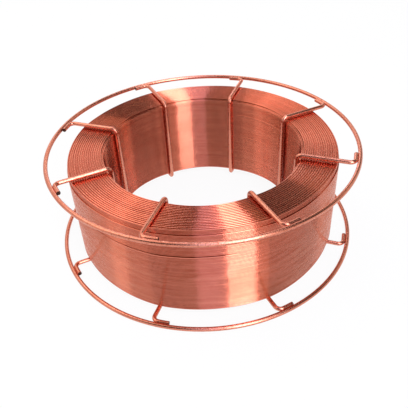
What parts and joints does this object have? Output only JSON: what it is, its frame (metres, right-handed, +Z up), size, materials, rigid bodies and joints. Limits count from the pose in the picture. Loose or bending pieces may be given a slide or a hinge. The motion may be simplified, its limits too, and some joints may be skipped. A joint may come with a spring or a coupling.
{
  "type": "wire basket spool of welding wire",
  "caption": "Open wire basket of rings and bent spokes with a full coil of copper-coated welding wire wound on it, for a wire feeder.",
  "frame": {"origin": "on the spool's axis, at the level that the lower ring stands on", "axes": "+Z up the spool's axis, +X midway between two spokes"},
  "size_m": [0.3, 0.3, 0.101],
  "materials": {
    "welding_wire": "satin",
    "basket_wire": "satin"
  },
  "bodies": {
    "root": {"wire_coil": "welding_wire", "upper_ring": "basket_wire", "lower_ring": "basket_wire", "spoke_1": "basket_wire", "spoke_2": "basket_wire", "spoke_3": "basket_wire", "spoke_4": "basket_wire", "spoke_5": "basket_wire", "spoke_6": "basket_wire", "spoke_7": "basket_wire", "spoke_8": "basket_wire"}
  },
  "joints": []
}
